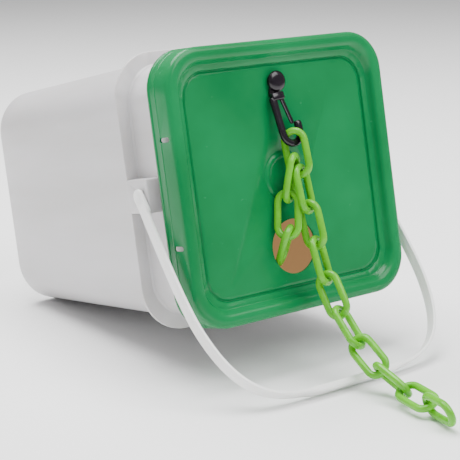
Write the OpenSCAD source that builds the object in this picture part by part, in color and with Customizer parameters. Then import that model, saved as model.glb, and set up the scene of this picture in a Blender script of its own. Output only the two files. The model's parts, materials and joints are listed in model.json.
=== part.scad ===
// Square lidded pail that stores plastic link chain and pays it out through a hole in the lid.
// The pail lies on its side, tipped back, propped on its bail handle. The chain comes out of the
// outlet hole, hangs over a snap hook on the lid, and runs down over the handle to the floor.
// Everything is modelled along the pail's own axis (base at z = 0, lid at the top, handle side
// at -y) and then laid down as one. World origin: the centre of the pail's base.

/* [Pail] */
// Half the width of the pail's body under the flange
body_top_half = 128; // [120:0.5:132]
// Half the width of the pail's base
body_base_half = 119.5; // [110:0.5:124]
// Wall thickness of the pail
wall = 2.2; // [1.6:0.1:3]
// Height from the base to the lid's front plane
pail_h = 370; // [320:1:420]
// Half the width of the straight neck above the flange
neck_half = 123.5; // [123:0.1:124]
// Half the width of the flange
flange_half = 137.3; // [134:0.1:142]
// Depth from the lid's front plane to the flange's upper face
flange_depth = 83; // [70:1:100]

/* [Lid] */
// Half the outer width of the lid
lid_half = 134; // [132:0.5:138]
// Corner radius of the lid
lid_r = 40; // [30:1:48]
// Depth of the lid's skirt
skirt_h = 33.5; // [25:0.5:45]
// Depth of the recessed panel below the lid's front plane
recess = 11.35; // [8:0.05:16]
// Thickness of the lid's panel
panel_t = 2.6; // [2:0.1:4]
// Radius of the chain outlet hole
outlet_r = 27; // [20:0.5:32]
// Height of the outlet hole below the lid's centre
outlet_drop = 70; // [50:1:80]

/* [Handle] */
// Angle of the handle's plane from square across the pail, towards the lid
handle_angle = 30; // [28:1:32]
// Length of the handle from its pivot to the grip
handle_reach = 230; // [228:1:234]
// Half the greatest width of the handle
handle_half = 147; // [145:0.5:152]
// Width of the handle's strap
strap_w = 12.5; // [10:0.5:16]
// Thickness of the handle's strap
strap_t = 3.6; // [3:0.1:5]

/* [Hook] */
// Height of the hook's stud above the lid's centre
stud_rise = 92.5; // [80:0.5:100]
// Radius of the button on the stud
button_r = 10.3; // [8:0.1:12]
// Radius of the hook's rod
rod_r = 3; // [2.5:0.1:3.5]
// Radius of the hook's bow, to the middle of the rod
bow_r = 9.5; // [9:0.5:10]

/* [Chain] */
// Thickness of the chain's wire
wire = 7.2; // [6.8:0.1:7.4]
// Outside length of a link
link_len = 51; // [50.5:0.1:51.5]
// Outside width of a link
link_w = 27; // [25:0.5:29]
// Free gap between two links that hang in each other
link_gap = 0.9; // [0.8:0.05:1.1]

/* [Hidden] */
$fn = 96;
eps = 0.01;

// pail
corner_r = 46;
neck_r = 38;
neck_in_r = 36;
plug_r = 35.7;
base_t = 2.8;
flange_t = 3;
flange_r = 45.5;
flange_z = pail_h - flange_depth;
bead_half = neck_half + 6.8;
bead_z0 = pail_h - 15;
rim_top = pail_h - 6;
ear_y = 16.5;
ear_z0 = flange_z - 2;
ear_z1 = pail_h - 49;
ear_x = 137.5;
pivot_z = pail_h - 60.6;
pin_r = 4.4;
pin_bore_r = 4.47;
pin_in = 126;

// lid
skirt_t = 2.4;
top_t = 2.8;
rim_in_half = lid_half - 14.7;
panel_half = rim_in_half - 9.3;
plug_half = neck_half - wall + 0.1;
panel_z = pail_h - recess;
vent_off = 51;
vent_w = 4.6;
vent_len = 15;
vent_z = pail_h - 15;
dish_r = 26;
stud_r = 4;
stud_hole_r = 4.2;

// handle
bow_power = 4.3;
arm_tuck = 0.04;
arm_h = 140;
strap_x = 140.6;
grip_half = 54;
grip_t = 7;
pad_len = 22;

// tilt: the base's lower edge and the grip's lowest edge both touch the floor
grip_low = [-cos(handle_angle) * (handle_reach + grip_t / 2) - sin(handle_angle) * strap_w / 2,
            pivot_z + sin(handle_angle) * (handle_reach + grip_t / 2)
              - cos(handle_angle) * strap_w / 2];
tilt = atan2(-(grip_low[0] + body_base_half), grip_low[1]);

// hook, in its own frame: stud axis at the origin, bow towards -y
eye_z0 = panel_z + 0.6;
eye_t = 2.4;
eye_r = 9;
hook_lean = 9.8;
hook_turn = 3.8;
spring_z = 1.45;
spring_wire = 0.35;
spine_x = -8.5;
nose_x = spine_x + 2 * bow_r;
bow_y = -52.6;
nose_tip_y = -43;
gate_pivot = [0, -14];
gate_end = [5.1, -42];
gate_w = 4;
gate_t = 2;
gate_pin_r = 1.2;
cheek_z = 3.4;
cheek_low = 2.9;
shoulder = [14.5, 7.5];
shoulder_y = -18.5;
slot_z = 1.9;

// chain: one entry per link. "drop" is each link's slope from the lid's own plane, out from the
// lid; "drift" its slope sideways; "roll" how far its flat side is turned from facing the lid
arc_r = (link_w - wire) / 2;
half_run = (link_len - link_w) / 2;
pitch = link_len - 2 * wire - link_gap;
run_start = [5, 38.6, pail_h + 1.6];
drop = [7, 8, 9, 13, 24, 36, 48, 62, 76, 83];
drift = [0, 0, 0, 0, 0, 0, 0, 0, -7, -16];
roll = [52, 157, 72, 155, 66, -20, 55, 130, 205, 110];
// the run back into the outlet hole: joint points from the lid's front plane, and the same three
inner_joint = [[1.6, 14.7, 2.9], [-9, -19.5, -0.9], [-18.1, -54.2, 3.9]];
inner_drop = [-7, 5.2, -43.3];
inner_drift = [-15, -12.6, 11.4];
inner_roll = [147.5, 42.8, 142.7];
STORED_ROWS = 5;
STORED_IN_ROW = 5;
row_gap = 29;

lime = "#76be3c";
green = "#2f8f5e";
pail_white = "#d9d8d6";
black = "#26202a";

// Lays the pail down: its axis points forward and a little up
module placed() {
    rotate([90 - tilt, 0, 0]) children();
}

// Square of half width h with round corners, exact
module round_square(h, r) {
    square([2 * h, 2 * (h - r)], center = true);
    square([2 * (h - r), 2 * h], center = true);
    for (x = [-1, 1], y = [-1, 1]) translate([x * (h - r), y * (h - r)]) circle(r);
}

// Plate of that outline from z0 to z1
module plate(h, r, z0, z1) {
    translate([0, 0, z0]) linear_extrude(z1 - z0) round_square(h, r);
}

// Tapered block between two round squares
module tapered(h0, z0, h1, z1, r) {
    hull() {
        plate(h0, r, z0, z0 + eps, $fn = 48);
        plate(h1, r, z1 - eps, z1, $fn = 48);
    }
}

// One chain link, its centre at the origin, long way along y, flat side facing z
module chain_link() {
    for (s = [0, 180]) rotate([0, 0, s]) {
        translate([0, half_run, 0]) rotate_extrude(angle = 180, $fn = 32)
            translate([arc_r, 0]) circle(wire / 2, $fn = 24);
        translate([arc_r, half_run, 0]) rotate([90, 0, 0])
            cylinder(h = 2 * half_run, r = wire / 2, $fn = 24);
    }
}

// Direction of a link with slope a out of the lid and drift b sideways
function dir(a, b) = [sin(b), -cos(a) * cos(b), sin(a) * cos(b)];
// Joint point before link k of a run
function joint_at(start, a, b, k) =
    k == 0 ? start : joint_at(start, a, b, k - 1) + pitch * dir(a[k - 1], b[k - 1]);

// A link hung at joint point p, with slope a, drift b and roll turn
module link_at(p, a, b, turn) {
    placed() translate(p + pitch / 2 * dir(a, b))
        rotate([-a, 0, 0]) rotate([0, 0, b]) rotate([0, -turn, 0])
            color(lime) chain_link();
}

// Link k of the outer run, and link k of the run back into the hole
module outer_link(k) {
    link_at(joint_at(run_start, drop, drift, k), drop[k], drift[k], roll[k]);
}
module inner_link(k) {
    link_at(inner_joint[k] + [0, 0, pail_h], inner_drop[k], inner_drift[k], inner_roll[k]);
}

module ear(side) {
    difference() {
        translate([side > 0 ? neck_half - 1 : -ear_x, -ear_y, ear_z0])
            cube([ear_x - neck_half + 1, 2 * ear_y, ear_z1 - ear_z0]);
        translate([side * pin_in, 0, pivot_z]) rotate([0, side * 90, 0])
            cylinder(h = 20, r = pin_bore_r);
    }
}

module pail_body() {
    placed() color(pail_white) {
        difference() {
            union() {
                tapered(body_base_half, 0, body_top_half, flange_z - flange_t + 1, corner_r);
                plate(flange_half, flange_r, flange_z - flange_t, flange_z);
                plate(neck_half, neck_r, flange_z - eps, rim_top);
                plate(bead_half, corner_r - 5, bead_z0, rim_top - 1);
            }
            tapered(body_base_half - wall, base_t, body_top_half - wall - 2, flange_z - 12,
                    corner_r - wall);
            plate(neck_half - wall + 0.4, neck_in_r, flange_z - 12 - eps, pail_h);
        }
        for (side = [-1, 1]) ear(side);
    }
}

module vent(side) {
    for (k = [-1, 1]) rotate([0, 0, side]) translate([k * vent_off, lid_half - 6, vent_z])
        rotate([-90, 0, 0]) {
            translate([-vent_w / 2, -vent_len / 2 + vent_w / 2, 0])
                cube([vent_w, vent_len - vent_w, 12]);
            for (e = [-1, 1]) translate([0, e * (vent_len - vent_w) / 2, 0])
                cylinder(h = 12, r = vent_w / 2);
        }
}

module lid() {
    placed() color(green) difference() {
        union() {
            difference() {
                plate(lid_half, lid_r, pail_h - skirt_h, pail_h);
                plate(lid_half - skirt_t, lid_r - skirt_t, pail_h - skirt_h - 1, pail_h - top_t);
            }
            plate(plug_half, plug_r, panel_z - panel_t, pail_h - eps);
        }
        hull() {
            plate(panel_half, lid_r - 24, panel_z, panel_z + eps, $fn = 48);
            plate(rim_in_half, lid_r - 14.7, pail_h, pail_h + 1, $fn = 48);
        }
        translate([0, -outlet_drop, panel_z - 20]) cylinder(h = 40, r = outlet_r);
        translate([0, stud_rise, panel_z - 20]) cylinder(h = 40, r = stud_hole_r);
        translate([0, 0, panel_z - 0.6]) difference() {
            cylinder(h = 2, r = dish_r);
            translate([0, 0, -1]) cylinder(h = 4, r = dish_r - 2);
        }
        translate([0, 0, panel_z - 1]) cylinder(h = 2, r = dish_r - 8);
        for (side = [0 : 90 : 270]) vent(side);
    }
}

module lid_gasket() {
    placed() color("#c9c6bd") difference() {
        plate(bead_half - 0.5, corner_r - 5.5, rim_top + 0.1, pail_h - top_t - 0.1);
        plate(plug_half + 0.3, plug_r + 0.3, rim_top - 1, pail_h);
    }
}

// Half width and reach of the handle's middle line, at th degrees round from one pivot
function bow_r_at(th) = handle_reach * pow(sin(th), 2 / bow_power);
function bow_x_at(th) =
    let (r = bow_r_at(th), c = cos(th))
    sign(c) * handle_half * pow(abs(c), 2 / bow_power)
        * (1 - arm_tuck + arm_tuck * min(1, r / arm_h));
function bow_point(th) = [bow_x_at(th), bow_r_at(th)];
function unit(v) = v / norm(v);
// Unit vector out of the handle's loop at th
function bow_out(th) =
    let (d = unit(bow_point(min(180, th + 0.2)) - bow_point(max(0, th - 0.2))))
    [d[1], -d[0]];

// Strap's outline between two angles, t thick
module strap_outline(t, th0, th1, n) {
    ths = [for (i = [0 : n]) th0 + (th1 - th0) * i / n];
    polygon(concat([for (a = ths) bow_point(a) + t / 2 * bow_out(a)],
                   [for (i = [n : -1 : 0]) bow_point(ths[i]) - t / 2 * bow_out(ths[i])]));
}

module bail_handle() {
    placed() color("#f0f0ee") translate([0, 0, pivot_z]) rotate([-handle_angle, 0, 0])
        mirror([0, 1, 0]) {
            linear_extrude(strap_w, center = true) strap_outline(strap_t, 0.05, 179.95, 72);
            linear_extrude(strap_w, center = true) intersection() {
                strap_outline(grip_t, 60, 120, 24);
                translate([-grip_half, 0]) square([2 * grip_half, 2 * handle_reach]);
            }
            for (side = [-1, 1]) {
                translate([side * (strap_x - strap_t / 2), 0, 0]) rotate([0, side * 90, 0]) {
                    cylinder(h = strap_t, r = 7.5);
                    translate([-strap_w / 2, 0, 0]) cube([strap_w, pad_len, strap_t]);
                    translate([0, 0, pin_in + 2 - strap_x + strap_t / 2])
                        cylinder(h = strap_x - strap_t - pin_in + strap_t, r = pin_r);
                }
            }
        }
}

// Carries a piece to the stud's axis on the lid
module at_stud() {
    placed() translate([0, stud_rise, 0]) children();
}

module button_stud() {
    at_stud() color(black) {
        translate([0, 0, eye_z0 + eye_t + 0.3]) rotate_extrude()
            polygon([[0, 0], [button_r - 0.8, 0], [button_r, 0.8], [button_r, 2.6],
                     [button_r - 1.2, 3.8], [button_r - 4, 4.2], [0, 4.4]]);
        translate([0, 0, panel_z - 11]) cylinder(h = 11 + 0.6 + eye_t + 1, r = stud_r);
    }
}

module stud_washer() {
    at_stud() color("silver") translate([0, 0, panel_z - panel_t - 1.3]) difference() {
        cylinder(h = 1.3, r = 10);
        translate([0, 0, -1]) cylinder(h = 4, r = stud_r + 0.06);
    }
}

module stud_nut() {
    at_stud() color("silver") translate([0, 0, panel_z - panel_t - 1.3 - 6.2]) difference() {
        cylinder(h = 6.2, r = 7.5, $fn = 6);
        translate([0, 0, -1]) cylinder(h = 9, r = stud_r + 0.05);
    }
}

// Carries a piece to the hook's own frame, leaning out from the lid below the eye
module hook_frame() {
    at_stud() rotate([0, 0, hook_turn]) translate([0, 0, eye_z0 + eye_t / 2 + 1])
        rotate([-hook_lean, 0, 0]) children();
}

// Rod between two points of the hook's plane
module rod(a, b, r) {
    d = b - a;
    translate([a[0], a[1], 0]) rotate([0, 0, atan2(d[1], d[0])]) rotate([0, 90, 0])
        cylinder(h = norm(d), r = r, $fn = 32);
}

module hook_body() {
    color(black) {
        at_stud() translate([0, 0, eye_z0]) linear_extrude(eye_t) difference() {
            union() {
                circle(eye_r);
                rotate(hook_turn) translate([spine_x - 1.3, -14]) square([11, 10]);
            }
            circle(stud_r + 0.08);
        }
        hook_frame() {
            difference() {
                translate([spine_x - rod_r + 0.5, shoulder_y, -cheek_low])
                    cube([shoulder[0], shoulder[1], cheek_z + cheek_low]);
                translate([gate_pivot[0] - 3.5, shoulder_y - 2, -slot_z])
                    cube([shoulder[0], shoulder[0], 2 * slot_z]);
                translate([gate_pivot[0], gate_pivot[1], -5])
                    cylinder(h = 10, r = gate_pin_r, $fn = 32);
            }
            rod([spine_x, bow_y], [spine_x, -14], rod_r);
            translate([(spine_x + nose_x) / 2, bow_y, 0]) rotate([0, 0, 180])
                rotate_extrude(angle = 180) translate([bow_r, 0]) circle(rod_r, $fn = 32);
            rod([nose_x, bow_y], [nose_x, nose_tip_y], rod_r);
            rod([nose_x, nose_tip_y - 1], [nose_x, nose_tip_y + 1.2], rod_r - 0.8);
        }
    }
}

module hook_gate() {
    hook_frame() color(black) difference() {
        union() {
            translate([gate_pivot[0], gate_pivot[1], -gate_t / 2])
                cylinder(h = gate_t, r = 2.6);
            translate([gate_pivot[0], gate_pivot[1], 0])
                rotate([0, 0, atan2(gate_end[1] - gate_pivot[1], gate_end[0] - gate_pivot[0])])
                    translate([0, -gate_w / 2, -gate_t / 2])
                        cube([norm(gate_end - gate_pivot), gate_w, gate_t]);
            translate([gate_end[0], gate_end[1], -gate_t / 2])
                cylinder(h = gate_t, r = gate_w / 2 + 0.15);
        }
        translate([gate_pivot[0], gate_pivot[1], -5])
            cylinder(h = 10, r = gate_pin_r + 0.06, $fn = 32);
    }
}

module gate_pin() {
    hook_frame() color("silver") translate([gate_pivot[0], gate_pivot[1], -cheek_low])
        cylinder(h = cheek_z + cheek_low, r = gate_pin_r, $fn = 32);
}

module gate_spring() {
    hook_frame() color("silver") translate([gate_pivot[0], gate_pivot[1], 0])
        translate([0, 0, spring_z]) rotate_extrude()
            translate([gate_pin_r + 0.6, 0]) circle(spring_wire, $fn = 16);
}

module link_01() { outer_link(0); }
module link_02() { outer_link(1); }
module link_03() { outer_link(2); }
module link_04() { outer_link(3); }
module link_05() { outer_link(4); }
module link_06() { outer_link(5); }
module link_07() { outer_link(6); }
module link_08() { outer_link(7); }
module link_09() { outer_link(8); }
module link_10() { outer_link(9); }
module inner_link_1() { inner_link(0); }
module inner_link_2() { inner_link(1); }
module inner_link_3() { inner_link(2); }

// Chain put by in the pail: rows across the lower wall, each link hung in the next
module stored_chain() {
    placed() color(lime) for (row = [0 : STORED_ROWS - 1], k = [0 : STORED_IN_ROW - 1])
        translate([(k - (STORED_IN_ROW - 1) / 2) * pitch, -98, 40 + row * row_gap])
            rotate([0, 0, 90]) rotate([0, 45 + 90 * (k % 2), 0]) chain_link();
}

pail_body();
lid();
lid_gasket();
bail_handle();
button_stud();
stud_washer();
stud_nut();
hook_body();
hook_gate();
gate_pin();
gate_spring();
link_01();
link_02();
link_03();
link_04();
link_05();
link_06();
link_07();
link_08();
link_09();
link_10();
inner_link_1();
inner_link_2();
inner_link_3();
stored_chain();
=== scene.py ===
"""Square lidded pail that stores plastic link chain and pays it out through its lid.

The CAD frame gives the places, the sizes and the joints. This script gives the looks: each
sub-assembly is a class that builds coarse cages and profiles, finishes them with modifier
stacks, and dresses them in procedural materials. Lengths are in millimetres until a mesh is
made, and pieces are drawn along the pail's own axis (base at z = 0) and then laid down.
"""

import json
import logging
import math
from dataclasses import dataclass
from enum import Enum
from functools import partial
from typing import Callable, Sequence

import bmesh
import bpy
import numpy as np
from mathutils import Matrix, Vector

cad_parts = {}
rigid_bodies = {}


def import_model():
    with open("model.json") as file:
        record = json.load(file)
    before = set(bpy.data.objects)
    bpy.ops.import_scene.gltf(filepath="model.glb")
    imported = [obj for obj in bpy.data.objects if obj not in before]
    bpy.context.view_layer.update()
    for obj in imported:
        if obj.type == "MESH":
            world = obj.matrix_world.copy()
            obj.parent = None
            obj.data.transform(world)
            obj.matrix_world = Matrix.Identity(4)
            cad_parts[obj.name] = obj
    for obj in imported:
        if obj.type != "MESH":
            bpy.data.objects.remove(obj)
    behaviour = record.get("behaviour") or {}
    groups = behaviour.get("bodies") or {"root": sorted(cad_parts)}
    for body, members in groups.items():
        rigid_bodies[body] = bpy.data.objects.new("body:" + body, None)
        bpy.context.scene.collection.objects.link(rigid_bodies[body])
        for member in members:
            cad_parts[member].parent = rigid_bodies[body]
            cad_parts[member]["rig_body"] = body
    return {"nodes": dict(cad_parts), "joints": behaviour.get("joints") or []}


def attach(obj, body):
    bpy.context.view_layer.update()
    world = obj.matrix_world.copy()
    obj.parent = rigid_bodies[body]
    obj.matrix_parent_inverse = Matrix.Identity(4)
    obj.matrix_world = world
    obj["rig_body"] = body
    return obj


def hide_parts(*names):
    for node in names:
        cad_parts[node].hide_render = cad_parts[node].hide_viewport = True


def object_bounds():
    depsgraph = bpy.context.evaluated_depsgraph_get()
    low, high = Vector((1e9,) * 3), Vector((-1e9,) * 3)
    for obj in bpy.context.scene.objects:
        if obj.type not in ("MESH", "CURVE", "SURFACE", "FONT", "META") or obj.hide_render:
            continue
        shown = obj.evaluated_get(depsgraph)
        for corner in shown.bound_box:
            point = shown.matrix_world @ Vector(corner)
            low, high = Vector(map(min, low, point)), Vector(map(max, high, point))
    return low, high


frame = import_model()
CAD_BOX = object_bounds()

LOG = logging.getLogger("chain_pail")
MM = 0.001
SOFTENED_DEG = 28  # edges sharper than this are rounded
MERGE_MM = 0.01
SUPPORTS = (0.96, 0.3, -0.3, -0.96)  # where a ring's straight sides have points
Point2 = tuple[float, float]
Ring = list[Vector]
Step = tuple[float, float, float]
Adder = Callable[..., bpy.types.Node]


class Body(Enum):
    """Bodies of the CAD frame that pieces ride on."""

    PAIL = "pail"
    LID = "lid"
    HANDLE = "handle"
    HOOK = "hook"
    GATE = "gate"


class Slot(Enum):
    """Material slots of the record."""

    PAIL = "pail_plastic"
    LID = "lid_plastic"
    HANDLE = "handle_plastic"
    BLACK = "black_plastic"
    CHAIN = "chain_plastic"


def pail_tilt() -> float:
    """Angle in radians by which the lying pail's axis rises, read from the lid's slide joint."""
    axis = next(j for j in frame["joints"] if j["name"] == "lid_lift")["axis"]
    return math.atan2(axis[2], -axis[1])


LAY_DOWN = Matrix.Rotation(math.pi / 2 - pail_tilt(), 4, "X")


def linear(code: str) -> tuple[float, float, float, float]:
    """Turns an sRGB hex code into linear red, green, blue and alpha.

    Args:
        code: Six hex digits after a hash sign.

    Returns:
        Four numbers from 0 to 1.
    """
    parts = [int(code[i : i + 2], 16) / 255 for i in (1, 3, 5)]
    flat = [c / 12.92 if c <= 0.04045 else ((c + 0.055) / 1.055) ** 2.4 for c in parts]
    return (flat[0], flat[1], flat[2], 1.0)


def per_metre(size_mm: float) -> float:
    """Scale of a texture node whose features are size_mm across."""
    return 1 / (size_mm * MM)


def add_node(tree: bpy.types.NodeTree, kind: str, inputs: dict, **settings) -> bpy.types.Node:
    """Adds a node, sets its properties, and fills or links its inputs.

    Args:
        tree: Node tree to add to.
        kind: Blender's class name of the node, without the ShaderNode prefix.
        inputs: Input name or number to a value, or to an output socket to link.
        settings: Properties of the node itself.

    Returns:
        The new node.
    """
    node = tree.nodes.new("ShaderNode" + kind)
    for name, value in settings.items():
        setattr(node, name, value)
    for key, value in inputs.items():
        if isinstance(value, bpy.types.NodeSocket):
            tree.links.new(value, node.inputs[key])
        else:
            node.inputs[key].default_value = value
    return node


def pail_coordinates(add: Adder, stretch: float = 1) -> bpy.types.NodeSocket:
    """Object coordinates turned to the pail's own axis, drawn out along it.

    Args:
        add: Adds a node to the material.
        stretch: How much longer a feature is along the pail's axis than across it.

    Returns:
        The vector socket.
    """
    inputs = {
        "Vector": add("TexCoord", {}).outputs["Object"],
        "Rotation": tuple(LAY_DOWN.to_euler()),
        "Scale": (1, 1, stretch),
    }
    return add("Mapping", inputs, vector_type="TEXTURE").outputs[0]


@dataclass(frozen=True)
class Finish:
    """Surface finish whose own nodes feed one shader.

    Attributes:
        name: Material name.
        colour: Main colour.
    """

    name: str
    colour: str

    def inputs(self, add: Adder) -> dict:
        """Adds the finish's own nodes.

        Args:
            add: Adds a node to the material.

        Returns:
            Values and sockets for the shader's inputs.
        """
        raise NotImplementedError

    def make(self) -> bpy.types.Material:
        """Builds the material.

        Returns:
            The material.
        """
        made = bpy.data.materials.new(self.name)
        made.use_nodes = True
        made.node_tree.nodes.clear()
        add = partial(add_node, made.node_tree)
        shader = add("BsdfPrincipled", self.inputs(add))
        add("OutputMaterial", {"Surface": shader.outputs[0]})
        return made


@dataclass(frozen=True)
class MouldedPlastic(Finish):
    """Injection-moulded thermoplastic: broad colour drift, moulded grain, rubbed places, and an
    optional painted glow.

    Attributes:
        deep: Colour that the broad random drift runs to, as in the thicker places.
        rubbed: Colour where handling has dulled the surface.
        gloss: Roughness of the untouched skin.
        dull: Roughness of the rubbed places.
        drift_mm: Size of the broad colour drift.
        drift_span: Noise values between which the drift runs.
        stretch: How far the drift is drawn out along the pail's axis.
        grain_mm: Size of the moulded skin's texture.
        grain_depth_mm: Depth of that texture.
        rub_mm: Size of the rubbed places.
        rub_share: From 0, none, to 1, nearly all over.
        rub_start: Noise value where rubs begin at no share, and how far a full share lowers it.
        rub_blend: Noise values over which a rub fades in.
        glow: Subsurface weight, for plastics that light enters.
        glow_mm: How far light travels in the plastic.
        ior: Index of refraction.
        shine: Strength of the mirror-like reflection, 0.5 for a clean skin.
        seam: True where the piece's UV map carries a mould parting line.
        seam_wide: Width of that line as a share of the wire's radius.
        seam_mm: Height of that line.
        painted_glow: Painted light: emission strength of a glow in the main colour, standing in
            for light that reaches the inside through the wall.
    """

    deep: str
    rubbed: str
    gloss: float
    dull: float
    drift_mm: float = 60
    drift_span: Point2 = (0.35, 0.68)
    stretch: float = 1
    grain_mm: float = 1.2
    grain_depth_mm: float = 0.02
    rub_mm: float = 9
    rub_share: float = 0.3
    rub_start: Point2 = (0.72, 0.3)
    rub_blend: float = 0.16
    glow: float = 0
    glow_mm: float = 3
    ior: float = 1.5
    shine: float = 0.5
    seam: bool = False
    seam_wide: float = 0.13
    seam_mm: float = 0.12
    painted_glow: float = 0

    def inputs(self, add: Adder) -> dict:
        """Adds the drift, the rubs and the grain.

        Args:
            add: Adds a node to the material.

        Returns:
            Values and sockets for the shader's inputs.
        """
        drawn, even = pail_coordinates(add, self.stretch), pail_coordinates(add)
        drift = add(
            "TexNoise",
            {"Vector": drawn, "Scale": per_metre(self.drift_mm), "Detail": 3, "Roughness": 0.5},
        )
        low, high = self.drift_span
        depth = add("MapRange", {0: drift.outputs["Fac"], "From Min": low, "From Max": high})
        body = add("MixRGB", {0: depth.outputs[0], 1: linear(self.colour), 2: linear(self.deep)})
        rub = add(
            "TexNoise",
            {"Vector": even, "Scale": per_metre(self.rub_mm), "Detail": 8, "Roughness": 0.72},
        )
        start = self.rub_start[0] - self.rub_start[1] * self.rub_share
        rubs = {0: rub.outputs["Fac"], "From Min": start, "From Max": start + self.rub_blend}
        worn = add("MapRange", rubs).outputs[0]
        tone = add("MixRGB", {0: worn, 1: body.outputs[0], 2: linear(self.rubbed)})
        rough = add("MapRange", {0: worn, "To Min": self.gloss, "To Max": self.dull})
        grain = add(
            "TexNoise",
            {"Vector": even, "Scale": per_metre(self.grain_mm), "Detail": 3, "Roughness": 0.55},
        )
        depth_m = self.grain_depth_mm * MM
        skin = {"Height": grain.outputs["Fac"], "Strength": 1.0, "Distance": depth_m}
        normal = add("Bump", skin).outputs[0]
        wanted = {
            "Base Color": tone.outputs[0],
            "Roughness": rough.outputs[0],
            "Normal": self.parting_line(add, normal) if self.seam else normal,
            "IOR": self.ior,
            "Specular IOR Level": self.shine,
        }
        if self.glow:
            wanted["Subsurface Weight"] = self.glow
            wanted["Subsurface Radius"] = (1.0, 0.85, 0.7)
            wanted["Subsurface Scale"] = self.glow_mm * MM
        # Painted light: a glow in the main colour stands in for daylight that comes in through
        # the wall
        if self.painted_glow:
            wanted["Emission Color"] = linear(self.colour)
            wanted["Emission Strength"] = self.painted_glow
        return wanted

    def parting_line(self, add: Adder, under: bpy.types.NodeSocket) -> bpy.types.NodeSocket:
        """Raises the fine line where the two halves of the mould met.

        Args:
            add: Adds a node to the material.
            under: Normal of the skin under the line.

        Returns:
            Normal with the line on it.
        """
        axes = add("SeparateXYZ", {0: add("TexCoord", {}).outputs["UV"]})
        turn = add("Math", {0: axes.outputs["Y"], 1: 2 * math.pi}, operation="MULTIPLY")
        wave = add("Math", {0: turn.outputs[0]}, operation="SINE")
        away = add("Math", {0: wave.outputs[0]}, operation="ABSOLUTE")
        span = {"From Max": self.seam_wide, "To Min": 1.0, "To Max": 0.0}
        line = add("MapRange", {0: away.outputs[0]} | span)
        ridge = {"Height": line.outputs[0], "Strength": 1.0, "Distance": self.seam_mm * MM}
        return add("Bump", ridge | {"Normal": under}).outputs[0]


@dataclass(frozen=True)
class ZincPlate(Finish):
    """Bright zinc plate on pressed steel: turned marks, small dull spots."""

    name: str = "zinc_plated_steel"
    colour: str = "#c9ccd0"
    spot: str = "#9da1a6"
    mark_mm: float = 0.8
    mark_depth_mm: float = 0.02
    mark_stretch: float = 6
    spot_mm: float = 2.5

    def inputs(self, add: Adder) -> dict:
        """Adds the marks and the spots.

        Args:
            add: Adds a node to the material.

        Returns:
            Values and sockets for the shader's inputs.
        """
        place = pail_coordinates(add, self.mark_stretch)
        marks = add("TexNoise", {"Vector": place, "Scale": per_metre(self.mark_mm), "Detail": 4})
        spots = add("TexNoise", {"Vector": place, "Scale": per_metre(self.spot_mm), "Detail": 5})
        height, depth_m = marks.outputs["Fac"], self.mark_depth_mm * MM
        share = add("MapRange", {0: spots.outputs["Fac"], "From Min": 0.5, "From Max": 0.7})
        tone = add("MixRGB", {0: share.outputs[0], 1: linear(self.colour), 2: linear(self.spot)})
        rough = add("MapRange", {0: height, "To Min": 0.2, "To Max": 0.42})
        bump = add("Bump", {"Height": height, "Strength": 0.6, "Distance": depth_m})
        return {
            "Base Color": tone.outputs[0],
            "Roughness": rough.outputs[0],
            "Normal": bump.outputs[0],
            "Metallic": 1.0,
        }


@dataclass(frozen=True)
class ClosedCellFoam(Finish):
    """Soft closed-cell foam tape: small open cells on a cut face with painted shade in their
    hollows, no shine.
    """

    name: str = "polyethylene_foam_painted_shade"
    colour: str = "#cbc7bb"
    cell_shade: str = "#9b978b"
    cell_mm: float = 1.1
    cell_depth_mm: float = 0.25

    def inputs(self, add: Adder) -> dict:
        """Adds the cells.

        Args:
            add: Adds a node to the material.

        Returns:
            Values and sockets for the shader's inputs.
        """
        cells = add("TexVoronoi", {0: pail_coordinates(add), "Scale": per_metre(self.cell_mm)})
        away, depth_m = cells.outputs["Distance"], self.cell_depth_mm * MM
        # Painted shade: the colour darkens towards each cell's middle, where the bump sinks into
        # a hollow
        tone = add("MixRGB", {0: away, 1: linear(self.cell_shade), 2: linear(self.colour)})
        bump = add("Bump", {"Height": away, "Strength": 0.8, "Distance": depth_m})
        return {"Base Color": tone.outputs[0], "Roughness": 0.93, "Normal": bump.outputs[0]}


@dataclass(frozen=True)
class StudioFloor(Finish):
    """Matt pale sweep that the object stands on."""

    name: str = "matt_floor"
    colour: str = "#f6f6f6"

    def inputs(self, add: Adder) -> dict:
        """Gives the shader's inputs; the sweep needs no nodes of its own."""
        return {"Base Color": linear(self.colour), "Roughness": 0.9}


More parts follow.
